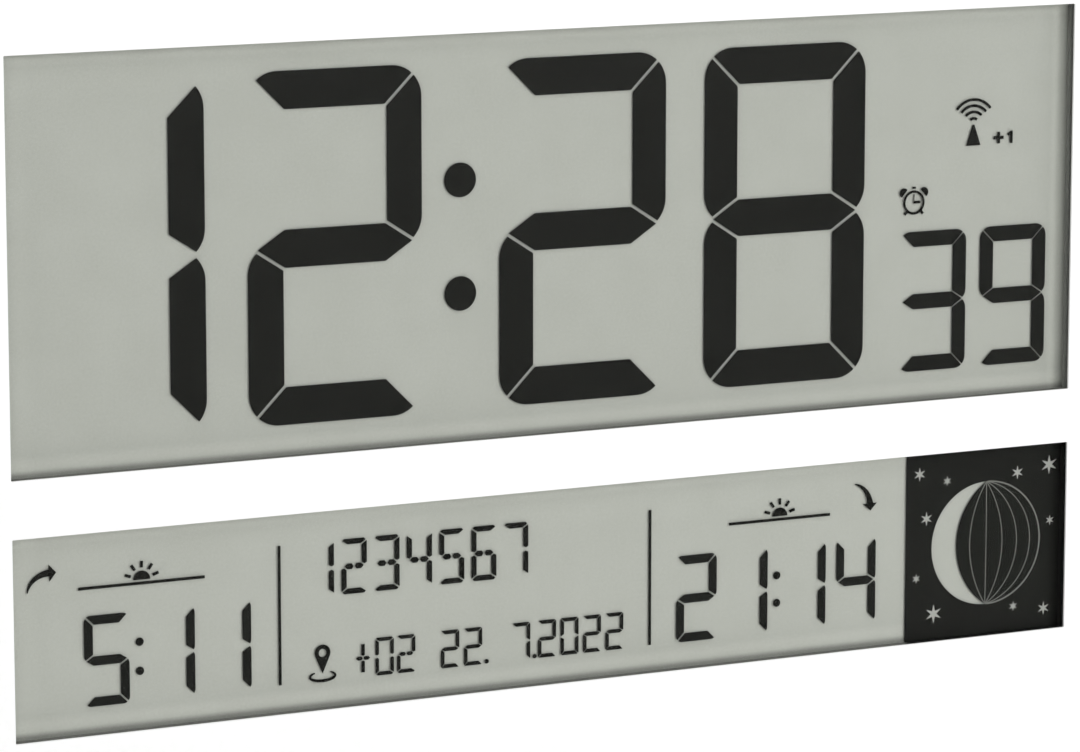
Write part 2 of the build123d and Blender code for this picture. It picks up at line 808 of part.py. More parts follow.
# Table stand: a leg that turns on a steel pin across its pocket
leg_half = leg_width / 2
leg_nose = leg_thickness / 2
leg_axis_y = -leg_sink - leg_nose
leg_foot = leg_base_gap - case_height / 2
leg = slab(-leg_half, leg_half, -leg_sink - leg_thickness, -leg_sink, leg_foot, stand_z)
leg += bar(-leg_half, leg_half, leg_axis_y, stand_z, leg_nose)
leg -= drum(0, leg_foot, finger_notch_radius, -leg_sink - leg_thickness, -leg_sink)
leg_panel_low = leg_foot + finger_notch_radius + leg_panel_border
leg_panel_high = stand_z - leg_nose - leg_panel_border
leg_panel = rounded(
    leg_width - 2 * leg_panel_border, leg_panel_high - leg_panel_low, leg_panel_corner,
    0, (leg_panel_low + leg_panel_high) / 2,
)
leg -= prism(leg_panel, -leg_sink - leg_panel_depth, -leg_sink)
leg -= bar(-leg_half, leg_half, leg_axis_y, stand_z, stand_pin_radius + stand_pin_running)
save("stand_leg", leg)
ear_inner = leg_half + leg_fit
ear_outer = ear_inner + stand_ear
save("stand_pin", bar(-ear_outer, ear_outer, leg_axis_y, stand_z, stand_pin_radius))

# Keys and slide switch
panel_width = panel_share * case_width
panel_x = case_width / 2 - panel_side - panel_width / 2
panel_z = bridge_z - panel_drop
key_pitch = (panel_width - 2 * panel_end) / len(key_names)
key_width = key_pitch - key_gap
key_xs = [panel_x + x for x in row(len(key_names), key_pitch)]
key_z = panel_z + key_rise
panel_inner = -panel_sink - cover_wall
flange_high = panel_inner - key_flange_gap
flange_low = flange_high - key_flange_thickness
key_top = -panel_sink + key_stand
switch_top = board_back + switch_height
plunger_top = switch_top + plunger_height
stem_end = plunger_top + key_travel + key_stem_clear
switches = []
for node, x in zip(key_names, key_xs):
    cap = prism(rounded(key_width, key_height, key_corner, x, key_z), flange_high, key_top)
    cap = fillet(cap.faces().sort_by(Axis.Y)[-1].edges(), key_edge_round)
    flange_outline = rounded(key_width + 2 * key_flange, key_height + 2 * key_flange, key_corner, x, key_z)
    cap += prism(flange_outline, flange_low, flange_high)
    cap += drum(x, key_z, key_stem_radius, stem_end, flange_low)
    save(node, cap)
    half = switch_size / 2
    switch = slab(x - half, x + half, board_back, switch_top, key_z - half, key_z + half)
    switches.append(switch + drum(x, key_z, plunger_radius, switch_top, plunger_top))
save("key_switches", switches)

slider_z = panel_z - slider_drop
slider_left = panel_x - slider_travel / 2 - slider_width / 2
slider_right = slider_left + slider_width
slider_x = (slider_left + slider_right) / 2
slider_low = slider_z - slider_height / 2
slider_high = slider_z + slider_height / 2
slide_top = board_back + slide_body_height
slider = slab(slider_left, slider_right, flange_high, key_top, slider_low, slider_high)
for step in row(slider_grip_count, slider_grip_pitch):
    groove_x = slider_x + step
    half = slider_grip_width / 2
    groove_floor = key_top - slider_grip_depth
    slider -= slab(groove_x - half, groove_x + half, groove_floor, key_top, slider_low, slider_high)
slider += slab(
    slider_left - key_flange, slider_right + key_flange, flange_low, flange_high,
    slider_low - key_flange, slider_high + key_flange,
)
slider += drum(slider_x, slider_z, key_stem_radius, slide_top + slide_clear, flange_low)
save("alarm_slider", slider)
body_half = slide_body_length / 2
body_low = slider_z - slide_body_width / 2
save("alarm_switch_body", slab(
    panel_x - body_half, panel_x + body_half, board_back, slide_top, body_low, body_low + slide_body_width,
))

# Sounder stuck to the back wall behind its sound holes
buzzer_x = -buzzer_share * case_width
save("buzzer", drum(buzzer_x, buzzer_z, buzzer_radius, cover_inner - buzzer_height, cover_inner))

# Rear cover
cover_width = cavity_width - 2 * cover_fit
cover_height = cavity_height - 2 * cover_fit
cover_corner = inner_corner - cover_fit
cover = prism(rounded(cover_width, cover_height, cover_corner), cover_front, 0)
cover = fillet(cover.faces().sort_by(Axis.Y)[-1].edges(), cover_edge_round)
hollow = rounded(cover_width - 2 * cover_wall, cover_height - 2 * cover_wall, cover_corner - cover_wall)
cover -= prism(hollow, cover_front, cover_inner)

for x, z in posts:
    cover += drum(x, z, post_boss_radius, frame_back, cover_inner)
    cover -= drum(x, z, case_head_radius + case_head_room, frame_back + post_boss_floor, 0)
    cover -= drum(x, z, case_screw_radius + screw_fit, frame_back, frame_back + post_boss_floor)
case_screw_sizes = (case_screw_radius, case_screw_length, case_head_radius, case_head_height)
save("case_screws", [screw(x, z, frame_back + post_boss_floor, *case_screw_sizes) for x, z in posts])

keyhole_z = case_height / 2 - keyhole_drop
pocket_half = keyhole_entry_radius + keyhole_side_room
pocket_low = keyhole_z - pocket_half
pocket_high = keyhole_z + keyhole_rise + pocket_half
pocket_floor = cover_inner - keyhole_head_room
for x in row(2, keyhole_spacing):
    box_half = pocket_half + keyhole_wall
    cover += slab(
        x - box_half, x + box_half, pocket_floor - keyhole_wall, cover_inner,
        pocket_low - keyhole_wall, pocket_high + keyhole_wall,
    )
    cover -= slab(x - pocket_half, x + pocket_half, pocket_floor, cover_inner, pocket_low, pocket_high)
    cover -= drum(x, keyhole_z, keyhole_entry_radius, cover_inner, 0)
    cover -= drum(x, keyhole_z + keyhole_rise, keyhole_slot_radius, cover_inner, 0)
    slot_left = x - keyhole_slot_radius
    slot_right = x + keyhole_slot_radius
    cover -= slab(slot_left, slot_right, cover_inner, 0, keyhole_z, keyhole_z + keyhole_rise)

bay_low = battery_z - bay_half_height
bay_high = battery_z + bay_half_height
ledge_y = door_inner - door_rest_gap
flange_half = door_half + door_flange
cover += slab(
    -bay_half - bay_wall, bay_half + bay_wall, bay_floor - bay_wall, cover_inner,
    bay_low - bay_wall, bay_high + bay_wall,
)
cover += slab(
    -flange_half, flange_half, ledge_y - door_ledge, cover_inner,
    door_low - door_flange, door_high + door_flange,
)
cover -= slab(-bay_half, bay_half, bay_floor, 0, bay_low, bay_high)
rebate_half = door_half + door_fit
cover -= slab(-rebate_half, rebate_half, ledge_y, 0, door_low - door_fit, door_high + door_fit)
cover -= drum(0, door_high + nail_notch_rise, nail_notch_radius, -nail_notch_depth, 0)
lug_swing = math.hypot(door_axis_y - lug_inner, lug_reach) + lug_swing_room
for x in lug_xs:
    half = lug_width / 2 + door_fit
    slot_low = door_axis_z - lug_swing
    slot_high = door_axis_z + lug_swing
    cover -= slab(x - half, x + half, door_axis_y - lug_swing, cover_inner, slot_low, slot_high)
for z in battery_zs:
    half = contact_tail_width / 2 + contact_slot_fit
    slot_front = contact_low - contact_slot_fit
    slot_back = contact_low + contact_thickness + contact_slot_fit
    cover -= slab(-bay_half - bay_wall, -bay_half, slot_front, slot_back, z - half, z + half)

stand_top = stand_z + leg_nose + leg_fit
stand_bottom = leg_foot - leg_fit
stand_floor_y = -leg_sink - leg_thickness - stand_floor_gap
cover += slab(
    -ear_outer, ear_outer, stand_floor_y - stand_floor, cover_inner,
    stand_bottom - stand_floor, stand_top + stand_floor,
)
cover -= slab(-ear_inner, ear_inner, stand_floor_y, 0, stand_bottom, stand_top)
cover -= bar(-ear_outer, ear_outer, leg_axis_y, stand_z, stand_pin_radius + stand_pin_seat)

panel_half = panel_width / 2
panel_half_height = panel_height / 2
cover += slab(
    panel_x - panel_half - cover_wall, panel_x + panel_half + cover_wall, panel_inner, cover_inner,
    panel_z - panel_half_height - cover_wall, panel_z + panel_half_height + cover_wall,
)
cover -= prism(rounded(panel_width, panel_height, panel_corner, panel_x, panel_z), -panel_sink, 0)
for x in key_xs:
    key_hole = rounded(key_width + 2 * key_fit, key_height + 2 * key_fit, key_corner + key_fit, x, key_z)
    cover -= prism(key_hole, panel_inner, -panel_sink)
cover -= slab(
    slider_left - slider_fit, slider_right + slider_travel + slider_fit, panel_inner, -panel_sink,
    slider_low - slider_fit, slider_high + slider_fit,
)
sound_holes = [(buzzer_x, buzzer_z)]
for step in range(sound_ring_count):
    angle = 2 * math.pi * step / sound_ring_count
    sound_holes.append((
        buzzer_x + sound_ring_radius * math.cos(angle),
        buzzer_z + sound_ring_radius * math.sin(angle),
    ))
for x, z in sound_holes:
    cover -= drum(x, z, sound_hole_radius, cover_inner, 0)
save("rear_cover", cover)
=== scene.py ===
import math

import bmesh
import bpy
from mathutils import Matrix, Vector


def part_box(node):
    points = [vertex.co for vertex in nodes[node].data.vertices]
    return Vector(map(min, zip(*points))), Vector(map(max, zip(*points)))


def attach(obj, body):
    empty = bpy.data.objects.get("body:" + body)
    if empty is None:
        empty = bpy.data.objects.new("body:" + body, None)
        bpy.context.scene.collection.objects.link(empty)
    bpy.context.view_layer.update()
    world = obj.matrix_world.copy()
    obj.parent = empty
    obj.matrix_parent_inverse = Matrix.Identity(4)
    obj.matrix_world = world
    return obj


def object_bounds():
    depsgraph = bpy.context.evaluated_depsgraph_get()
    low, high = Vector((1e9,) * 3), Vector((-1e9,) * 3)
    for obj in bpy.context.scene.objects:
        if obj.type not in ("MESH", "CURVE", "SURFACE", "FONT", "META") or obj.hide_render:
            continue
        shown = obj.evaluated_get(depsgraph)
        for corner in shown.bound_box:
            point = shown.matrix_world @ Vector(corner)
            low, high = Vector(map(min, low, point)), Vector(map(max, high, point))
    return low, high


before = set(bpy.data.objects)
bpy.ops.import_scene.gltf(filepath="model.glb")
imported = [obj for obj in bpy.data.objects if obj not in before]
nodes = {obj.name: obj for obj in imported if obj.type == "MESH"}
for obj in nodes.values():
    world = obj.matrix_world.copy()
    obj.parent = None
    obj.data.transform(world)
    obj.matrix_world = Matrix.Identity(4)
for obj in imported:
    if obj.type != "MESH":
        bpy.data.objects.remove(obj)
cadLow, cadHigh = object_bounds()
scene = bpy.context.scene
mm = 0.001
print("clock frame loaded:", len(nodes), "nodes")

# the photo's camera stands left of the clock and a little above it
# the far limit is in metres, the rest in millimetres
cameraSetup = {
    "place": (-548, -1143, 217),
    "aim": (-7.6, -30, 3.8),
    "lens": 164.7,
    "sensor": 36,
    "farLimit": 50,
}


def turnTo(item, place, aim):
    item.location = place
    item.rotation_euler = (aim - place).to_track_quat("-Z", "Y").to_euler()


def placeCamera(setup):
    data = bpy.data.cameras.new("photoCamera")
    data.lens = setup["lens"]
    data.sensor_width = setup["sensor"]
    data.clip_end = setup["farLimit"]
    camera = bpy.data.objects.new("photoCamera", data)
    scene.collection.objects.link(camera)
    turnTo(camera, Vector(setup["place"]) * mm, Vector(setup["aim"]) * mm)
    scene.camera = camera


placeCamera(cameraSetup)
print("camera placed")

# noise mostly lies between these two values, and is stretched from there to the range asked for
noiseLow = 0.3
noiseHigh = 0.7


def newTree(name):
    finish = bpy.data.materials.new(name)
    finish.use_nodes = True
    tree = finish.node_tree
    shader = tree.nodes["Principled BSDF"]
    coords = tree.nodes.new("ShaderNodeTexCoord").outputs["Object"]
    return finish, tree, shader, coords


def feed(tree, socket, value):
    # a value from another node is linked, a colour or number is set on the socket
    if isinstance(value, bpy.types.NodeSocket):
        tree.links.new(value, socket)
    elif isinstance(value, tuple):
        socket.default_value = (*value, 1)
    else:
        socket.default_value = value


def addNoise(tree, coords, scale, detail=2.0):
    noise = tree.nodes.new("ShaderNodeTexNoise")
    noise.inputs["Scale"].default_value = scale
    noise.inputs["Detail"].default_value = detail
    tree.links.new(coords, noise.inputs["Vector"])
    return noise.outputs["Fac"]


def addRange(tree, value, low, high, fromLow=noiseLow, fromHigh=noiseHigh, smooth=False):
    spread = tree.nodes.new("ShaderNodeMapRange")
    spread.interpolation_type = "SMOOTHSTEP" if smooth else "LINEAR"
    spread.inputs["From Min"].default_value = fromLow
    spread.inputs["From Max"].default_value = fromHigh
    spread.inputs["To Min"].default_value = low
    spread.inputs["To Max"].default_value = high
    tree.links.new(value, spread.inputs["Value"])
    return spread.outputs["Result"]


def addBlend(tree, share, first, second):
    blend = tree.nodes.new("ShaderNodeMix")
    blend.data_type = "RGBA"
    feed(tree, blend.inputs["Factor"], share)
    feed(tree, blend.inputs["A"], first)
    feed(tree, blend.inputs["B"], second)
    return blend.outputs["Result"]


def addMath(tree, kind, first, second):
    step = tree.nodes.new("ShaderNodeMath")
    step.operation = kind
    feed(tree, step.inputs[0], first)
    feed(tree, step.inputs[1], second)
    return step.outputs["Value"]


def addScale(tree, color, share):
    scale = tree.nodes.new("ShaderNodeVectorMath")
    scale.operation = "SCALE"
    tree.links.new(color, scale.inputs["Vector"])
    tree.links.new(share, scale.inputs["Scale"])
    return scale.outputs["Vector"]


def addAxis(tree, coords, axis):
    split = tree.nodes.new("ShaderNodeSeparateXYZ")
    tree.links.new(coords, split.inputs["Vector"])
    return split.outputs[axis]


def addRelief(tree, shader, height, depth):
    bump = tree.nodes.new("ShaderNodeBump")
    bump.inputs["Strength"].default_value = 1.0
    bump.inputs["Distance"].default_value = depth * mm
    tree.links.new(height, bump.inputs["Height"])
    tree.links.new(bump.outputs["Normal"], shader.inputs["Normal"])


# soft studio in metres: bright surround, dimmer behind the clock, a main light from the upper right
# and a smaller one behind; clearLayers is how many clear surfaces light may pass through
studioSetup = {
    "surround": {"color": (1.0, 1.0, 1.0), "front": 0.84, "behind": 0.42, "fade": (0.05, 0.6)},
    "main": {"place": (1.2, -3.0, 0.75), "aim": (0.0, 0.0, 0.0), "size": 1.4, "power": 34},
    "back": {"place": (1.6, 1.2, 1.0), "aim": (0.0, 0.0, 0.0), "size": 0.4, "power": 13},
    "floorReach": 4.0,
    "clearLayers": 24,
}


def buildSurround(setup):
    world = bpy.data.worlds.new("studioSurround")
    world.use_nodes = True
    tree = world.node_tree
    background = tree.nodes["Background"]
    background.inputs["Color"].default_value = (*setup["color"], 1)
    coords = tree.nodes.new("ShaderNodeTexCoord").outputs["Generated"]
    backward = addAxis(tree, coords, "Y")
    strength = addRange(tree, backward, setup["front"], setup["behind"], *setup["fade"], smooth=True)
    tree.links.new(strength, background.inputs["Strength"])
    scene.world = world


def addLight(name, setup):
    data = bpy.data.lights.new(name, "AREA")
    data.shape = "DISK"
    data.size = setup["size"]
    data.energy = setup["power"]
    light = bpy.data.objects.new(name, data)
    scene.collection.objects.link(light)
    turnTo(light, Vector(setup["place"]), Vector(setup["aim"]))


def buildFloor(reach):
    corners = [(-reach, -reach), (reach, -reach), (reach, reach), (-reach, reach)]
    mesh = bpy.data.meshes.new("floor")
    mesh.from_pydata([(x, y, cadLow.z) for x, y in corners], [], [(0, 1, 2, 3)])
    floor = bpy.data.objects.new("floor", mesh)
    scene.collection.objects.link(floor)
    return floor


scene.view_settings.view_transform = "Standard"
scene.cycles.transparent_max_bounces = studioSetup["clearLayers"]
buildSurround(studioSetup["surround"])
addLight("mainLight", studioSetup["main"])
addLight("backLight", studioSetup["back"])
floor = buildFloor(studioSetup["floorReach"])
print("studio lit")

# finishes: colour with fine variation, uneven gloss and a fine surface relief
# grain and relief are cycles per metre, depths are millimetres
finishSetup = {
    "mouldedWhite": {
        "light": (0.88, 0.88, 0.87), "dark": (0.83, 0.83, 0.82), "grain": 700,
        "gloss": (0.42, 0.56), "relief": 2600, "depth": 0.03,
    },
    "sheetWhite": {
        "light": (0.93, 0.93, 0.93), "dark": (0.91, 0.91, 0.91), "grain": 400,
        "gloss": (0.3, 0.38), "relief": 4000, "depth": 0.006,
    },
    "floorPaint": {
        "light": (0.93, 0.93, 0.92), "dark": (0.92, 0.92, 0.91), "grain": 60,
        "gloss": (0.68, 0.71), "relief": 300, "depth": 0.02,
    },
    "segmentInk": {
        "light": (0.0145, 0.015, 0.013), "dark": (0.011, 0.0115, 0.01), "grain": 1800,
        "gloss": (0.75, 0.9), "relief": 5000, "depth": 0.004, "specular": 0.0,
    },
    "starPrint": {
        "light": (0.43, 0.44, 0.41), "dark": (0.38, 0.39, 0.36), "grain": 2200,
        "gloss": (0.7, 0.85), "relief": 5000, "depth": 0.004, "specular": 0.0,
    },
    "moonLine": {
        "light": (0.22, 0.226, 0.207), "dark": (0.19, 0.195, 0.178), "grain": 1500,
        "gloss": (0.7, 0.85), "relief": 5000, "depth": 0.004, "specular": 0.0,
    },
    "edgeSeal": {
        "light": (0.4, 0.41, 0.38), "dark": (0.3, 0.31, 0.28), "grain": 900,
        "gloss": (0.5, 0.7), "relief": 2000, "depth": 0.02,
    },
    "stripRubber": {
        "light": (0.33, 0.33, 0.35), "dark": (0.12, 0.12, 0.13), "grain": 3000,
        "gloss": (0.6, 0.8), "relief": 3000, "depth": 0.03,
    },
    "innerPlastic": {
        "light": (0.6, 0.6, 0.58), "dark": (0.5, 0.5, 0.48), "grain": 500,
        "gloss": (0.45, 0.6), "relief": 2200, "depth": 0.03,
    },
    "plainSteel": {
        "light": (0.66, 0.66, 0.65), "dark": (0.45, 0.45, 0.44), "grain": 1500,
        "gloss": (0.22, 0.42), "relief": 3500, "depth": 0.01, "metal": 1.0,
    },
    "springNickel": {
        "light": (0.76, 0.75, 0.71), "dark": (0.6, 0.58, 0.54), "grain": 1200,
        "gloss": (0.18, 0.36), "relief": 3000, "depth": 0.01, "metal": 1.0,
    },
    "canMetal": {
        "light": (0.72, 0.72, 0.72), "dark": (0.55, 0.55, 0.55), "grain": 1000,
        "gloss": (0.25, 0.45), "relief": 2600, "depth": 0.01, "metal": 1.0,
    },
    "boardMask": {
        "light": (0.035, 0.19, 0.08), "dark": (0.02, 0.11, 0.045), "grain": 350,
        "gloss": (0.25, 0.4), "relief": 900, "depth": 0.03,
    },
    "chipBlack": {
        "light": (0.032, 0.032, 0.033), "dark": (0.018, 0.018, 0.019), "grain": 1200,
        "gloss": (0.35, 0.55), "relief": 2500, "depth": 0.02,
    },
    "ferriteGrey": {
        "light": (0.1, 0.1, 0.105), "dark": (0.05, 0.05, 0.055), "grain": 1600,
        "gloss": (0.5, 0.7), "relief": 2500, "depth": 0.04,
    },
    "leadRed": {
        "light": (0.5, 0.03, 0.025), "dark": (0.38, 0.02, 0.018), "grain": 700,
        "gloss": (0.4, 0.55), "relief": 2000, "depth": 0.02,
    },
    "leadBlack": {
        "light": (0.035, 0.035, 0.035), "dark": (0.02, 0.02, 0.02), "grain": 700,
        "gloss": (0.4, 0.55), "relief": 2000, "depth": 0.02,
    },
    "keyGrey": {
        "light": (0.5, 0.51, 0.51), "dark": (0.44, 0.45, 0.45), "grain": 900,
        "gloss": (0.5, 0.65), "relief": 2800, "depth": 0.03,
    },
    "keyMark": {
        "light": (0.9, 0.9, 0.89), "dark": (0.82, 0.82, 0.81), "grain": 1500,
        "gloss": (0.45, 0.6), "relief": 3000, "depth": 0.01,
    },
}
glossCloud = 0.13  # cycles of the uneven gloss for each cycle of grain


def surfaceFinish(name, setup):
    finish, tree, shader, coords = newTree(name)
    tone = addRange(tree, addNoise(tree, coords, setup["grain"]), 0.0, 1.0)
    tree.links.new(addBlend(tree, tone, setup["light"], setup["dark"]), shader.inputs["Base Color"])
    cloud = addNoise(tree, coords, setup["grain"] * glossCloud)
    tree.links.new(addRange(tree, cloud, *setup["gloss"]), shader.inputs["Roughness"])
    addRelief(tree, shader, addNoise(tree, coords, setup["relief"]), setup["depth"])
    shader.inputs["Metallic"].default_value = setup.get("metal", 0.0)
    shader.inputs["Specular IOR Level"].default_value = setup.get("specular", 0.5)
    return finish


finishes = {name: surfaceFinish(name, setup) for name, setup in finishSetup.items()}
floor.data.materials.append(finishes["floorPaint"])

# display reflector: grey-green with fine speckle; painted light makes it paler towards the window's edges,
# where the recess shades it, and painted shade darkens it under the lower and right edges; a fade is where
# it starts and ends, in millimetres inward from the edge, and its share of the tone at the end
reflectorSetup = {
    "light": (0.42, 0.435, 0.394),
    "dark": (0.382, 0.394, 0.354),
    "paintedLift": {"time": 1.0, "calendar": 1.045},
    "speckle": 1500,
    "cloud": 75,
    "speckleShare": 0.7,
    "gloss": (0.6, 0.75),
    "specular": 0.2,
    "depth": 0.008,
    "lensLap": 2.5,
    "paintedEdgeFades": {
        "left": ((10.0, 2.3, 1.1),),
        "right": ((4.5, 1.0, 1.35), (0.5, -1.2, 0.8)),
        "low": ((5.5, 2.2, 1.2), (1.6, -0.2, 0.52)),
        "top": ((14.0, 4.0, 1.05), (4.0, 1.0, 1.2)),
    },
}


# painted light and shade: scales the reflector's colour paler or darker near each edge of the window
def paintEdgeLightAndShade(tree, coords, display, setup):
    low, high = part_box(display + "_lens")
    lap = setup["lensLap"] * mm
    edges = {
        "left": ("X", low.x + lap, mm), "right": ("X", high.x - lap, -mm),
        "low": ("Z", low.z + lap, mm), "top": ("Z", high.z - lap, -mm),
    }
    paintedEdgeShare = 1.0
    for side, (axis, edge, inward) in edges.items():
        place = addAxis(tree, coords, axis)
        for start, end, share in setup["paintedEdgeFades"][side]:
            fade = addRange(tree, place, 1.0, share, edge + inward * start, edge + inward * end, True)
            paintedEdgeShare = addMath(tree, "MULTIPLY", paintedEdgeShare, fade)
    return paintedEdgeShare


def reflectorFinish(name, display, setup):
    finish, tree, shader, coords = newTree(name)
    speckle = addNoise(tree, coords, setup["speckle"])
    cloud = addNoise(tree, coords, setup["cloud"])
    speckleShare = addMath(tree, "MULTIPLY", speckle, setup["speckleShare"])
    cloudShare = addMath(tree, "MULTIPLY", cloud, 1 - setup["speckleShare"])
    tone = addRange(tree, addMath(tree, "ADD", speckleShare, cloudShare), 0.0, 1.0)
    # painted light: the lower window's copy of the reflector colour is scaled a little paler overall
    paintedLift = setup["paintedLift"][display]
    light = tuple(part * paintedLift for part in setup["light"])
    dark = tuple(part * paintedLift for part in setup["dark"])
    color = addScale(tree, addBlend(tree, tone, light, dark), paintEdgeLightAndShade(tree, coords, display, setup))
    tree.links.new(color, shader.inputs["Base Color"])
    tree.links.new(addRange(tree, cloud, *setup["gloss"]), shader.inputs["Roughness"])
    addRelief(tree, shader, speckle, setup["depth"])
    shader.inputs["Specular IOR Level"].default_value = setup["specular"]
    return finish


# clear lens and glass: what is behind shows through, with a faint coated gloss
clearSetup = {
    "tint": (0.95, 0.96, 0.96), "index": 1.45, "gloss": 0.05,
    "polish": (0.03, 0.08), "smear": 60, "smearDetail": 1.0,
}


def clearFinish(name, setup):
    finish, tree, shader, coords = newTree(name)
    shader.inputs["Metallic"].default_value = 1.0
    shader.inputs["Base Color"].default_value = (*setup["tint"], 1)
    smear = addNoise(tree, coords, setup["smear"], setup["smearDetail"])
    tree.links.new(addRange(tree, smear, *setup["polish"]), shader.inputs["Roughness"])
    sheen = tree.nodes.new("ShaderNodeFresnel")
    sheen.inputs["IOR"].default_value = setup["index"]
    share = addMath(tree, "MULTIPLY", sheen.outputs["Fac"], setup["gloss"])
    through = tree.nodes.new("ShaderNodeBsdfTransparent")
    mix = tree.nodes.new("ShaderNodeMixShader")
    tree.links.new(share, mix.inputs["Fac"])
    tree.links.new(through.outputs["BSDF"], mix.inputs[1])
    tree.links.new(shader.outputs["BSDF"], mix.inputs[2])
    tree.links.new(mix.outputs["Shader"], tree.nodes["Material Output"].inputs["Surface"])
    return finish


# foam gasket: painted shade darkens it a little towards its front, away from the glass, and paints it black
# beside the moon picture
gasketSetup = {
    "front": (0.18, 0.185, 0.17), "deep": (0.2, 0.205, 0.19),
    "paintedShadeBlack": (0.006, 0.006, 0.005), "paintedShadeFade": 1.5,
    "pores": 2400, "poreDetail": 3.0, "poreTone": (0.03, 0.03, 0.03), "poreShare": 0.25,
    "gloss": (0.8, 0.95), "depth": 0.06, "specular": 0.1,
}


def gasketFinish(name, node, setup, paintedShadeLeft):
    finish, tree, shader, coords = newTree(name)
    low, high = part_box(node)
    depth = addRange(tree, addAxis(tree, coords, "Y"), 0.0, 1.0, low.y, high.y, True)
    pores = addNoise(tree, coords, setup["pores"], setup["poreDetail"])
    # painted shade: the colour darkens from the deep end towards the front
    base = addBlend(tree, depth, setup["front"], setup["deep"])
    # painted shade: right of this edge the gasket is painted black, continuing the shaded dark moon field
    if paintedShadeLeft is not None:
        across = addAxis(tree, coords, "X")
        fadeLeft = paintedShadeLeft - setup["paintedShadeFade"] * mm
        paintedShadeShare = addRange(tree, across, 0.0, 1.0, fadeLeft, paintedShadeLeft, True)
        base = addBlend(tree, paintedShadeShare, base, setup["paintedShadeBlack"])
    dull = addBlend(tree, addRange(tree, pores, 0.0, setup["poreShare"]), base, setup["poreTone"])
    tree.links.new(dull, shader.inputs["Base Color"])
    tree.links.new(addRange(tree, pores, *setup["gloss"]), shader.inputs["Roughness"])
    addRelief(tree, shader, pores, setup["depth"])
    shader.inputs["Specular IOR Level"].default_value = setup["specular"]
    return finish


# enamelled wire wound round the rod: fine turns along its length
windingSetup = {
    "light": (0.62, 0.27, 0.1), "dark": (0.3, 0.11, 0.035), "turns": 2400, "wander": 0.4,
    "metal": 0.8, "cloud": 500, "gloss": (0.25, 0.4), "depth": 0.12,
}


def windingFinish(name, setup):
    finish, tree, shader, coords = newTree(name)
    wave = tree.nodes.new("ShaderNodeTexWave")
    wave.bands_direction = "X"
    wave.inputs["Scale"].default_value = setup["turns"]
    wave.inputs["Distortion"].default_value = setup["wander"]
    tree.links.new(coords, wave.inputs["Vector"])
    color = addBlend(tree, wave.outputs["Fac"], setup["dark"], setup["light"])
    tree.links.new(color, shader.inputs["Base Color"])
    shader.inputs["Metallic"].default_value = setup["metal"]
    cloud = addNoise(tree, coords, setup["cloud"])
    tree.links.new(addRange(tree, cloud, *setup["gloss"]), shader.inputs["Roughness"])
    addRelief(tree, shader, wave.outputs["Fac"], setup["depth"])
    return finish


# plain wrapped cells: dark sleeve with a copper-coloured band at one end and a bare metal tip
# lengths are millimetres, and the two cells lie opposite ways round
cellSetup = {
    "sleeve": (0.03, 0.034, 0.042), "band": (0.5, 0.24, 0.09), "tip": (0.7, 0.7, 0.69),
    "bandLength": 12, "tipLength": 1.4, "bandMetal": 0.7,
    "scuff": 300, "scuffTone": (0.2, 0.2, 0.2), "scuffShare": 0.12,
    "cloud": 90, "gloss": (0.2, 0.35), "relief": 1500, "depth": 0.01,
}


def cellFinish(name, setup):
    finish, tree, shader, coords = newTree(name)
    low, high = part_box("battery_cells")
    upper = addMath(tree, "GREATER_THAN", addAxis(tree, coords, "Z"), (low.z + high.z) / 2)
    # the turn is 1 in the upper cell and -1 in the lower one
    turn = addMath(tree, "SUBTRACT", addMath(tree, "MULTIPLY", upper, 2.0), 1.0)
    along = addMath(tree, "MULTIPLY", addAxis(tree, coords, "X"), turn)
    end = (high.x - low.x) / 2
    band = addMath(tree, "GREATER_THAN", along, end - setup["bandLength"] * mm)
    tip = addMath(tree, "GREATER_THAN", along, end - setup["tipLength"] * mm)
    scuff = addRange(tree, addNoise(tree, coords, setup["scuff"]), 0.0, setup["scuffShare"])
    sleeve = addBlend(tree, scuff, setup["sleeve"], setup["scuffTone"])
    banded = addBlend(tree, band, sleeve, setup["band"])
    tree.links.new(addBlend(tree, tip, banded, setup["tip"]), shader.inputs["Base Color"])
    bandMetal = addMath(tree, "MULTIPLY", band, setup["bandMetal"])
    tree.links.new(addMath(tree, "MAXIMUM", tip, bandMetal), shader.inputs["Metallic"])
    cloud = addNoise(tree, coords, setup["cloud"])
    tree.links.new(addRange(tree, cloud, *setup["gloss"]), shader.inputs["Roughness"])
    addRelief(tree, shader, addNoise(tree, coords, setup["relief"]), setup["depth"])
    return finish


# painted shade: the lower gasket is painted black from the moon field's left edge onward
paintedShadeLefts = {"time": None, "calendar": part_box("moon_field")[0].x}  # only the lower gasket turns black
for display, paintedShadeLeft in paintedShadeLefts.items():
    reflector = display + "Reflector"
    foam = display + "Foam"
    finishes[reflector] = reflectorFinish(reflector, display, reflectorSetup)
    finishes[foam] = gasketFinish(foam, display + "_gasket", gasketSetup, paintedShadeLeft)
finishes["clearLens"] = clearFinish("clearLens", clearSetup)
finishes["copperWinding"] = windingFinish("copperWinding", windingSetup)
finishes["wrappedCell"] = cellFinish("wrappedCell", cellSetup)

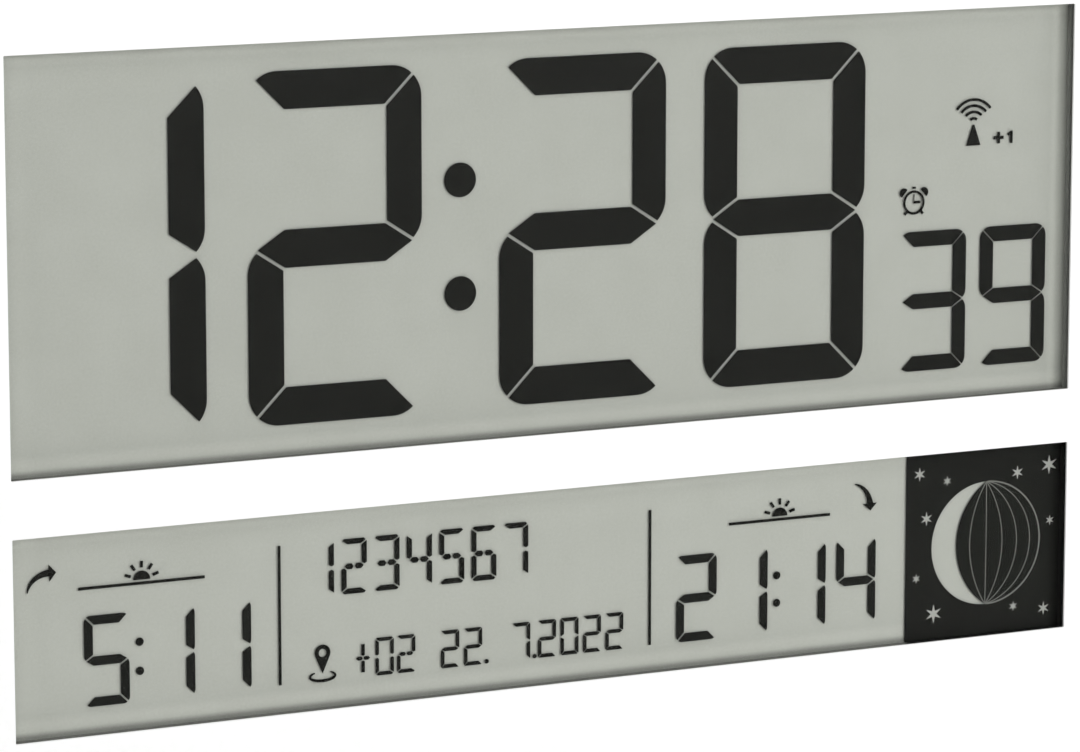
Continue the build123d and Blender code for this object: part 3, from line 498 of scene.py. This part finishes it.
# which finish each node of the frame takes
nodeFinish = {
    "mouldedWhite": ("front_frame", "rear_cover", "battery_door", "stand_leg"),
    "sheetWhite": ("faceplate",),
    "clearLens": ("time_lens", "calendar_lens", "time_glass", "calendar_glass"),
    "timeFoam": ("time_gasket",),
    "calendarFoam": ("calendar_gasket",),
    "edgeSeal": ("time_seal", "calendar_seal"),
    "timeReflector": ("time_reflector",),
    "calendarReflector": ("calendar_reflector",),
    "segmentInk": (
        "time_digits", "second_digits", "sun_digits", "date_digits", "display_rules", "moon_field",
    ),
    "stripRubber": ("time_contact_strip", "calendar_contact_strip"),
    "innerPlastic": ("time_retainer", "calendar_retainer", "antenna_clips"),
    "plainSteel": ("retainer_screws", "board_screws", "case_screws", "stand_pin"),
    "boardMask": ("main_board", "receiver_board"),
    "chipBlack": ("driver_chips", "capacitors", "buzzer", "key_switches"),
    "canMetal": ("quartz_crystal", "alarm_switch_body"),
    "ferriteGrey": ("ferrite_rod",),
    "copperWinding": ("antenna_coil",),
    "leadBlack": ("antenna_lead", "battery_minus_lead"),
    "leadRed": ("battery_plus_lead",),
    "wrappedCell": ("battery_cells",),
    "springNickel": ("battery_plus_contact", "battery_minus_contact", "battery_link"),
    "keyGrey": ("mode_key", "set_key", "up_key", "down_key", "alarm_key", "wave_key", "alarm_slider"),
}
for finishName, members in nodeFinish.items():
    for member in members:
        nodes[member].data.materials.clear()
        nodes[member].data.materials.append(finishes[finishName])
print("finishes given to", sum(len(members) for members in nodeFinish.values()), "nodes")

# flat shapes are drawn in millimetres, X to the right and Z up, as seen from the front
# in the displays, Z is counted from the lower edge of the lower window
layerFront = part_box("time_digits")[0].y
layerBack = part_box("time_digits")[1].y
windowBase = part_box("calendar_lens")[0].z / mm + reflectorSetup["lensLap"]
mergeReach = 0.002  # corners closer than this become one


def polar(x, z, reach, degrees):
    angle = math.radians(degrees)
    return (x + reach * math.cos(angle), z + reach * math.sin(angle))


def arcPoints(x, z, radiusX, radiusZ, startDeg, endDeg, steps):
    points = []
    for i in range(steps + 1):
        angle = math.radians(startDeg + (endDeg - startDeg) * i / steps)
        points.append((x + radiusX * math.cos(angle), z + radiusZ * math.sin(angle)))
    return points


def disc(x, z, radius, steps=14):
    return [arcPoints(x, z, radius, radius, 0, 360, steps)[:-1]]


def bandFaces(left, right):
    return [[left[i], right[i], right[i + 1], left[i + 1]] for i in range(len(left) - 1)]


def ringFaces(x, z, outer, inner, steps):
    outerRim = arcPoints(x, z, outer, outer, 0, 360, steps)
    innerRim = arcPoints(x, z, inner, inner, 0, 360, steps)
    return bandFaces(outerRim, innerRim)


def strokeFaces(points, widths):
    # a line of changing width, as a chain of quads
    left = []
    right = []
    for i, (x, z) in enumerate(points):
        beforeX, beforeZ = points[max(i - 1, 0)]
        afterX, afterZ = points[min(i + 1, len(points) - 1)]
        length = math.hypot(afterX - beforeX, afterZ - beforeZ)
        sideX = -(afterZ - beforeZ) / length
        sideZ = (afterX - beforeX) / length
        half = widths[i] / 2
        left.append((x + sideX * half, z + sideZ * half))
        right.append((x - sideX * half, z - sideZ * half))
    return bandFaces(left, right)


def evenStroke(points, width):
    return strokeFaces(points, [width] * len(points))


def bar(xLow, xHigh, zLow, zHigh):
    return [[(xLow, zLow), (xHigh, zLow), (xHigh, zHigh), (xLow, zHigh)]]


def flatPiece(name, faces, finishName, front, back, body="case", facing=1):
    shape = bmesh.new()
    level = front if facing > 0 else back
    for points in faces:
        area = sum(x1 * z2 - x2 * z1 for (x1, z1), (x2, z2) in zip(points, points[1:] + points[:1]))
        ordered = points if area * facing > 0 else points[::-1]
        shape.faces.new([shape.verts.new((x * mm, level, z * mm)) for x, z in ordered])
    bmesh.ops.remove_doubles(shape, verts=shape.verts, dist=mergeReach * mm)
    mesh = bpy.data.meshes.new(name)
    shape.to_mesh(mesh)
    shape.free()
    piece = bpy.data.objects.new(name, mesh)
    scene.collection.objects.link(piece)
    thick = piece.modifiers.new("thick", "SOLIDIFY")
    thick.thickness = abs(back - front)
    thick.offset = -1
    mesh.materials.append(finishes[finishName])
    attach(piece, body)


def displayPiece(name, faces, finishName="segmentInk", proud=0.0):
    raised = [[(x, z + windowBase) for x, z in points] for points in faces]
    flatPiece(name, raised, finishName, layerFront - proud * mm, layerBack)


# bars of each numeral in the calendar rows: A top, B and C right, D low, E and F left,
# G and H the two halves of the middle one, I and J the upright of the plus
rowNumerals = {
    "0": "ABCDEF", "1": "BC", "2": "ABGHED", "3": "ABGHCD", "4": "FGHBC",
    "5": "AFGHCD", "6": "AFGHECD", "7": "ABC", "+": "GHIJ",
}
# what each bar leaves or cuts off, as shares of the stroke, or of the gap for the three gap values
numeralShape = {
    "mitreGap": 0.7, "dashGap": 0.4, "dashEndGap": 0.6,
    "bevel": 0.35, "sideTop": 0.3, "sideFoot": 0.25, "dashEnd": 0.6, "dashPoint": 0.35, "dashHalf": 0.52,
    "postFoot": 0.6, "postNotch": 0.3,
}
dayRow = {
    "signs": "1234567", "left": -69.9, "base": 28.1, "pitch": 9.05,
    "width": 7.0, "height": 14.2, "stroke": 1.4, "gap": 0.42,
}
zoneRow = {
    "signs": "+02", "left": -57.6, "base": 6.2, "pitch": 6.0,
    "width": 5.1, "height": 9.8, "stroke": 0.95, "gap": 0.3,
}


def numeralBars(setup, shape):
    # the bars A to J of a numeral whose middle is the origin
    right = setup["width"] / 2
    high = setup["height"] / 2
    stroke = setup["stroke"]
    gap = setup["gap"]
    cut = gap * shape["mitreGap"]
    bevel = stroke * shape["bevel"]
    top = [
        (cut - right + bevel, high), (right - cut - bevel, high), (right - cut, high - bevel),
        (right - stroke - cut, high - stroke), (stroke + cut - right, high - stroke),
        (cut - right, high - bevel),
    ]
    side = [
        (right, high - cut - stroke * shape["sideTop"]), (right, gap + stroke * shape["sideFoot"]),
        (right - stroke / 2, gap), (right - stroke, (stroke + gap) / 2),
        (right - stroke, high - stroke - cut),
    ]
    dashStart = gap * shape["dashGap"]
    dashLeft = dashStart + stroke * shape["dashPoint"]
    dashRight = right - stroke - gap * shape["dashEndGap"]
    dashEnd = right - stroke * shape["dashEnd"]
    dashHalf = stroke * shape["dashHalf"]
    dash = [
        (dashStart, 0), (dashLeft, dashHalf), (dashRight, dashHalf),
        (dashEnd, 0), (dashRight, -dashHalf), (dashLeft, -dashHalf),
    ]
    postFoot = stroke * shape["postFoot"] + gap
    postNotch = stroke * shape["postNotch"] + gap
    postTop = high - stroke - gap
    post = [
        (-stroke / 2, postFoot), (0, postNotch), (stroke / 2, postFoot),
        (stroke / 2, postTop), (-stroke / 2, postTop),
    ]
    return {
        "A": top, "B": side, "H": dash, "I": post,
        "C": [(x, -z) for x, z in side],
        "D": [(x, -z) for x, z in top],
        "E": [(-x, -z) for x, z in side],
        "F": [(-x, z) for x, z in side],
        "G": [(-x, z) for x, z in dash],
        "J": [(x, -z) for x, z in post],
    }


def rowFaces(setup):
    bars = numeralBars(setup, numeralShape)
    middleZ = setup["base"] + setup["height"] / 2
    faces = []
    for i, sign in enumerate(setup["signs"]):
        middleX = setup["left"] + i * setup["pitch"] + setup["width"] / 2
        faces += [[(middleX + x, middleZ + z) for x, z in bars[key]] for key in rowNumerals[sign]]
    return faces


displayPiece("dayNumbers", rowFaces(dayRow))
displayPiece("zoneNumbers", rowFaces(zoneRow))

# place pin: a drop with a round hole over an open ring that thins towards its ends
pinSetup = {
    "x": -66.2, "z": 13.6, "reach": 2.15, "hole": 1.05, "tip": 8.3,
    "waistDeg": 28, "steps": 28, "floorSteps": 12,
    "ringZ": 7.6, "ringX": 3.45, "ringRise": 1.2, "ringWidth": 0.75, "ringThin": 0.35,
    "ringStartDeg": 128, "ringEndDeg": 412, "ringSteps": 40,
}


def pinFaces(setup):
    x = setup["x"]
    z = setup["z"]
    reach = setup["reach"]
    hole = setup["hole"]
    waist = setup["waistDeg"]
    outer = arcPoints(x, z, reach, reach, -waist, 180 + waist, setup["steps"])
    inner = arcPoints(x, z, hole, hole, -waist, 180 + waist, setup["steps"])
    floorArc = arcPoints(x, z, hole, hole, 180 + waist, 360 - waist, setup["floorSteps"])
    drop = bandFaces(outer, inner) + [[outer[-1], (x, setup["tip"]), outer[0]] + floorArc[::-1]]
    steps = setup["ringSteps"]
    ring = arcPoints(
        x, setup["ringZ"], setup["ringX"], setup["ringRise"],
        setup["ringStartDeg"], setup["ringEndDeg"], steps,
    )
    swells = [math.sqrt(math.sin(math.pi * i / steps)) for i in range(steps + 1)]
    thin = setup["ringThin"]
    return drop + strokeFaces(ring, [setup["ringWidth"] * (thin + (1 - thin) * swell) for swell in swells])


displayPiece("placePin", pinFaces(pinSetup))

# rising and falling sun: an arrow that swells towards its head, and a half sun on the horizon
riseSetup = {
    "x": -138.55, "z": 36.0, "radiusX": 6.1, "radiusZ": 5.0, "startDeg": 176, "endDeg": 92,
    "head": [(-139.05, 43.1), (-137.05, 41.0), (-138.85, 38.8)], "swell": 1.75,
}
setSetup = {
    "x": 86.45, "z": 37.15, "radiusX": 5.7, "radiusZ": 6.75, "startDeg": 80, "endDeg": 7,
    "head": [(89.85, 38.25), (92.15, 36.35), (94.05, 38.35)], "swell": 1.8,
}
arrowShape = {"tail": 0.25, "growth": 0.8, "steps": 18}


def arrowFaces(setup, shape):
    steps = shape["steps"]
    tail = shape["tail"]
    line = arcPoints(
        setup["x"], setup["z"], setup["radiusX"], setup["radiusZ"],
        setup["startDeg"], setup["endDeg"], steps,
    )
    widths = [tail + (setup["swell"] - tail) * (i / steps) ** shape["growth"] for i in range(steps + 1)]
    return strokeFaces(line, widths) + [setup["head"]]


displayPiece("riseArrow", arrowFaces(riseSetup, arrowShape))
displayPiece("setArrow", arrowFaces(setSetup, arrowShape))

riseSun = {"left": -131.4, "right": -97.9, "horizon": 36.2}
setSun = {"left": 49.7, "right": 79.9, "horizon": 36.4}
sunShape = {
    "disc": 2.25, "steps": 24, "rayStart": 3.05, "rayEnd": 4.7, "rays": (18, 54, 90, 126, 162),
    "line": 0.75, "gap": 0.5,
}


def sunFaces(place, shape):
    middle = (place["left"] + place["right"]) / 2
    horizon = place["horizon"]
    half = shape["line"] / 2
    rest = horizon + half + shape["gap"]
    faces = bar(place["left"], place["right"], horizon - half, horizon + half)
    faces.append(arcPoints(middle, rest, shape["disc"], shape["disc"], 0, 180, shape["steps"]))
    for degrees in shape["rays"]:
        ends = [polar(middle, rest, reach, degrees) for reach in (shape["rayStart"], shape["rayEnd"])]
        faces += evenStroke(ends, shape["line"])
    return faces


displayPiece("riseSun", sunFaces(riseSun, sunShape))
displayPiece("setSun", sunFaces(setSun, sunShape))

# signal mast with its waves, each a radius and half its spread in degrees
mastSetup = {
    "x": 122.15, "foot": 132.15, "top": 137.7, "half": 2.2, "tip": 0.25, "line": 0.73, "waveZ": 137.72,
    "waves": ((1.63, 38), (3.37, 45), (5.0, 49), (6.63, 51)), "steps": 24,
}


def mastFaces(setup):
    x = setup["x"]
    half = setup["half"]
    tip = setup["tip"]
    foot = setup["foot"]
    top = setup["top"]
    faces = [[(x - half, foot), (x + half, foot), (x + tip, top), (x - tip, top)]]
    for radius, spread in setup["waves"]:
        line = arcPoints(x, setup["waveZ"], radius, radius, 90 + spread, 90 - spread, setup["steps"])
        faces += evenStroke(line, setup["line"])
    return faces


displayPiece("signalMast", mastFaces(mastSetup))

# summer-time sign: a plus and a one, whose flag is drawn from the top of its stem
summerSetup = {
    "left": 128.4, "base": 132.2, "height": 3.3, "line": 0.85, "arm": 1.1, "inset": 0.1, "stem": 5.0,
    "flag": ((0.25, 0.0), (-0.85, -0.75), (-0.5, -1.35), (0.0, -1.0)),
}


def summerFaces(setup):
    line = setup["line"]
    base = setup["base"]
    top = base + setup["height"]
    middle = base + setup["height"] / 2
    left = setup["left"]
    postLeft = left + setup["arm"]
    postRight = postLeft + line
    right = postRight + setup["arm"]
    low = middle - line / 2
    high = middle + line / 2
    postLow = base + setup["inset"]
    postHigh = top - setup["inset"]
    plus = [
        (left, low), (postLeft, low), (postLeft, postLow),
        (postRight, postLow), (postRight, low), (right, low),
        (right, high), (postRight, high), (postRight, postHigh),
        (postLeft, postHigh), (postLeft, high), (left, high),
    ]
    stem = left + setup["stem"]
    one = [(stem, base), (stem + line, base), (stem + line, top)]
    one += [(stem + x, top + z) for x, z in setup["flag"]]
    return [plus, one]


displayPiece("summerSign", summerFaces(summerSetup))

# little alarm clock: ring, hands, two bells, cap and feet
alarmSetup = {
    "x": 104.25, "z": 118.0, "ring": 2.9, "line": 0.65, "ringSteps": 40,
    "handHalf": 0.13, "handLow": -0.3, "longHand": 2.2, "shortHand": 2.0, "shortHigh": 0.4,
    "capHalf": 0.5, "capLow": 0.75, "capHigh": 1.3,
    "bell": 1.3, "bellReach": 4.0, "bellTilt": 49, "bellSpread": 100, "bellSteps": 18,
    "footTilt": 42, "footLength": 1.25, "footWidth": 0.75,
}


def alarmFaces(setup):
    x = setup["x"]
    z = setup["z"]
    ring = setup["ring"]
    half = setup["line"] / 2
    hand = setup["handHalf"]
    handLow = z + setup["handLow"]
    faces = ringFaces(x, z, ring + half, ring - half, setup["ringSteps"])
    faces += bar(x - hand, x + hand, handLow, z + setup["longHand"])
    faces += bar(x + hand, x + setup["shortHand"], handLow, z + setup["shortHigh"])
    capLow = z + ring + setup["capLow"]
    capHigh = z + ring + setup["capHigh"]
    faces += bar(x - setup["capHalf"], x + setup["capHalf"], capLow, capHigh)
    for side in (-1, 1):
        aim = 90 - side * setup["bellTilt"]
        bellX, bellZ = polar(x, z, setup["bellReach"], aim)
        start = aim - setup["bellSpread"]
        end = aim + setup["bellSpread"]
        faces.append(arcPoints(bellX, bellZ, setup["bell"], setup["bell"], start, end, setup["bellSteps"]))
        foot = 270 + side * setup["footTilt"]
        ends = [polar(x, z, reach, foot) for reach in (ring, ring + setup["footLength"])]
        faces += evenStroke(ends, setup["footWidth"])
    return faces


displayPiece("alarmSign", alarmFaces(alarmSetup))

# moon picture: rim and meridians in thin pale lines, with small stars on the dark field
# a meridian is its reach from the middle line, a star is its place and reach
moonSetup = {
    "x": 127.83, "z": 24.4, "radius": 16.8, "line": 0.22, "rimLine": 0.4, "proud": 0.03,
    "meridians": (-5.0, 0.1, 5.1, 9.65, 13.75), "stopDeg": 88.5, "steps": 48,
    "stars": (
        (107.1, 44.8, 1.95), (115.6, 42.3, 1.45), (137.45, 42.85, 1.95), (147.35, 44.2, 2.65),
        (109.35, 32.55, 1.95), (147.85, 28.9, 1.45), (106.4, 16.5, 1.4), (111.9, 6.4, 2.65),
        (136.75, 6.15, 1.45), (146.3, 4.7, 1.95),
    ),
    "starArms": 6, "starWaist": 0.33,
}


def moonLines(setup):
    # each line is a circular arc from pole to pole
    faces = []
    radius = setup["radius"]
    stop = setup["stopDeg"]
    steps = setup["steps"]
    lines = [(reach, setup["line"]) for reach in setup["meridians"]] + [(radius, setup["rimLine"])]
    for reach, width in lines:
        bow = (radius ** 2 + reach ** 2) / (2 * abs(reach))
        points = []
        for i in range(steps + 1):
            rise = radius * math.sin(math.radians(stop - 2 * stop * i / steps))
            out = math.sqrt(bow ** 2 - rise ** 2) - bow + abs(reach)
            points.append((setup["x"] + math.copysign(out, reach), setup["z"] + rise))
        faces += evenStroke(points, width)
    return faces


def moonStars(setup):
    corners = 2 * setup["starArms"]
    faces = []
    for x, z, reach in setup["stars"]:
        reaches = [reach if i % 2 == 0 else reach * setup["starWaist"] for i in range(corners)]
        faces.append([polar(x, z, reaches[i], 90 + 360 * i / corners) for i in range(corners)])
    return faces


displayPiece("moonLines", moonLines(moonSetup), "moonLine", moonSetup["proud"])
displayPiece("moonStars", moonStars(moonSetup), "starPrint", moonSetup["proud"])
print("display signs drawn")

# raised marks on the six keys, drawn from the middle of each key
markSetup = {
    "height": 0.15, "line": 0.6, "reach": 1.7, "ringSteps": 28, "barRises": (1.4, -1.4, 0.0),
    "arrowHalf": 1.9, "arrowBack": 1.3,
    "bellZ": -0.6, "bellHalf": 1.4, "bellRise": 2.2, "bellSteps": 20,
    "brimHalf": 1.9, "brimLow": -1.35, "brimHigh": -0.85, "clapperZ": -1.75, "clapper": 0.35,
    "waveZ": -1.5, "waveDot": 0.45, "waves": (1.5, 2.7), "waveStartDeg": 145, "waveEndDeg": 35,
    "waveSteps": 16, "waveLine": 0.51,
}


def ringMark(x, z, setup):
    return ringFaces(x, z, setup["reach"], setup["reach"] - setup["line"], setup["ringSteps"])


def barsMark(x, z, setup):
    faces = []
    half = setup["line"] / 2
    for rise in setup["barRises"]:
        faces += bar(x - setup["reach"], x + setup["reach"], z + rise - half, z + rise + half)
    return faces


def upMark(x, z, setup, turn=1):
    back = z - turn * setup["arrowBack"]
    return [[(x - setup["arrowHalf"], back), (x + setup["arrowHalf"], back), (x, z + turn * setup["reach"])]]


def downMark(x, z, setup):
    return upMark(x, z, setup, -1)


def bellMark(x, z, setup):
    bell = arcPoints(x, z + setup["bellZ"], setup["bellHalf"], setup["bellRise"], 0, 180, setup["bellSteps"])
    brim = bar(x - setup["brimHalf"], x + setup["brimHalf"], z + setup["brimLow"], z + setup["brimHigh"])
    return [bell] + brim + disc(x, z + setup["clapperZ"], setup["clapper"])


def waveMark(x, z, setup):
    waveZ = z + setup["waveZ"]
    start = setup["waveStartDeg"]
    end = setup["waveEndDeg"]
    faces = disc(x, waveZ, setup["waveDot"])
    for radius in setup["waves"]:
        line = arcPoints(x, waveZ, radius, radius, start, end, setup["waveSteps"])
        faces += evenStroke(line, setup["waveLine"])
    return faces


keyMarks = {
    "mode": ringMark, "set": barsMark, "up": upMark, "down": downMark, "alarm": bellMark, "wave": waveMark,
}
for key, drawMark in keyMarks.items():
    low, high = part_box(key + "_key")
    faces = drawMark((low.x + high.x) / 2 / mm, (low.z + high.z) / 2 / mm, markSetup)
    top = high.y + markSetup["height"] * mm
    flatPiece(key + "Mark", faces, "keyMark", high.y, top, key + "_button", -1)
print("key marks drawn")
